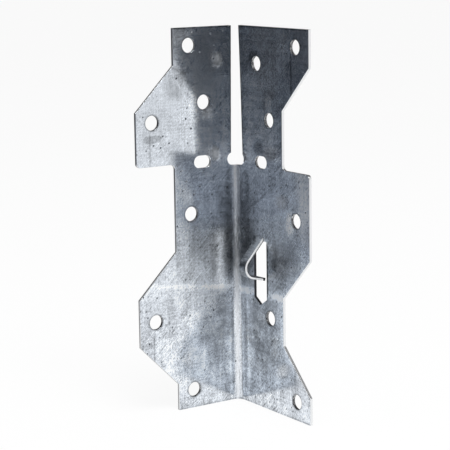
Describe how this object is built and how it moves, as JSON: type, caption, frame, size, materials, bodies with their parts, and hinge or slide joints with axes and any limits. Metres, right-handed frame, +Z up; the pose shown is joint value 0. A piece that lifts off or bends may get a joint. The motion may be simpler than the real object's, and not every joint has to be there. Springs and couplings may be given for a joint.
{
  "type": "framing angle",
  "caption": "Folded sheet-steel framing angle with zigzag legs, round nail holes, a slit upper fold, bending slots and a lanced hook prong, for joining timber framing.",
  "frame": {"origin": "on the heel line, where the planes of the two outer faces meet, at the foot", "axes": "+Z up the fold, +X along the right leg, -Y along the left leg, hollow side towards +X and -Y"},
  "size_m": [0.0369, 0.0359, 0.1143],
  "materials": {
    "galvanised_sheet": "hot-dip galvanised sheet, mottled and lightly scuffed, with bare sheared edges"
  },
  "bodies": {
    "root": {"framing_angle": "galvanised_sheet"}
  },
  "joints": []
}
